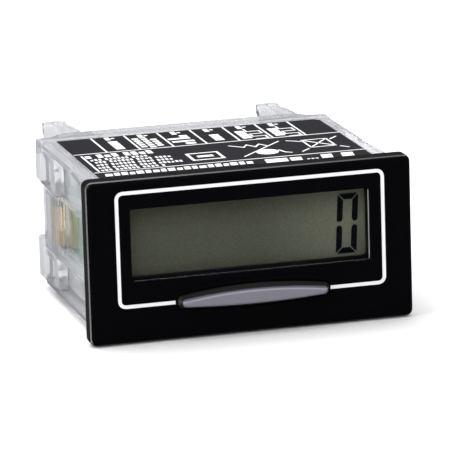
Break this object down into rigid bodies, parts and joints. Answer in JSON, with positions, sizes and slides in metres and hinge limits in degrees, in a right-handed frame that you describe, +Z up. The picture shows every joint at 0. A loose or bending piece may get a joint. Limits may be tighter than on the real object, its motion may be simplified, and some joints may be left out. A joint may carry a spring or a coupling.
{
  "type": "panel counter",
  "caption": "Panel counter: a flat bezel with an LCD window and a wide reset key, a clear case with a top label, screw terminals and a sliding rear clip.",
  "frame": {"origin": "middle of the whole outline seen from above, at the height of the bezel's lower edge", "axes": "front towards -Y, +X to the right seen from the front, +Z up"},
  "size_m": [0.0724, 0.079, 0.036],
  "materials": {
    "black_gloss": "black gloss moulding",
    "black_matt": "black moulding, satin",
    "white_print": "white screen print",
    "clear_window": "clear acrylic",
    "clear_plastic": "clear polycarbonate",
    "key_black": "black moulding, satin",
    "key_grey": "lavender grey face, satin",
    "lcd_glass": "liquid crystal cell over a reflector",
    "lcd_black": "switched-on liquid crystal",
    "reflector_grey": "silver grey film",
    "strip_rubber": "pink-brown silicone",
    "board_green": "green solder resist",
    "capacitor_yellow": "yellow case",
    "capacitor_sleeve": "dark blue sleeve",
    "battery_sleeve": "silver grey sleeve",
    "bright_metal": "plated steel",
    "brass": "bright brass",
    "block_black": "black moulding, satin",
    "label_black": "black film"
  },
  "bodies": {
    "instrument": {"bezel": "black_gloss", "frame_line": "white_print", "front_window": "clear_window", "tact_switch": "black_matt", "lcd_cell": "lcd_glass", "digit_top": "lcd_black", "digit_upper_left": "lcd_black", "digit_upper_right": "lcd_black", "digit_lower_left": "lcd_black", "digit_lower_right": "lcd_black", "digit_bottom": "lcd_black", "lcd_reflector": "reflector_grey", "contact_strip_upper": "strip_rubber", "contact_strip_lower": "strip_rubber", "lcd_holder": "black_matt", "display_board": "board_green", "controller_chip": "black_matt", "crystal": "bright_metal", "battery": "battery_sleeve", "battery_tag_left": "bright_metal", "battery_tag_right": "bright_metal", "case": "clear_plastic", "terminal_board": "board_green", "film_capacitor": "capacitor_yellow", "smoothing_capacitor": "capacitor_sleeve", "link_board": "board_green", "terminal_block": "block_black", "top_label": "label_black", "label_table_lines": "white_print", "label_row_line": "white_print", "terminal_clamp_1": "brass", "terminal_clamp_2": "brass", "terminal_clamp_3": "brass", "terminal_clamp_4": "brass", "terminal_clamp_5": "brass", "terminal_clamp_6": "brass", "terminal_screw_1": "bright_metal", "terminal_screw_2": "bright_metal", "terminal_screw_3": "bright_metal", "terminal_screw_4": "bright_metal", "terminal_screw_5": "bright_metal", "terminal_screw_6": "bright_metal"},
    "reset_key": {"reset_button": "key_black", "button_face": "key_grey", "switch_plunger": "bright_metal"},
    "rear_clip": {"mounting_clip": "clear_plastic"}
  },
  "joints": [
    {"name": "reset_press", "type": "slide", "parent": "instrument", "child": "reset_key", "axis": [0, 1, 0], "range_m": [0, 0.0005], "stiffness_N_per_m": 3000, "springref_m": -0.0002},
    {"name": "clip_slide", "type": "slide", "parent": "instrument", "child": "rear_clip", "axis": [0, 1, 0], "range_m": [0, 0.012]}
  ]
}
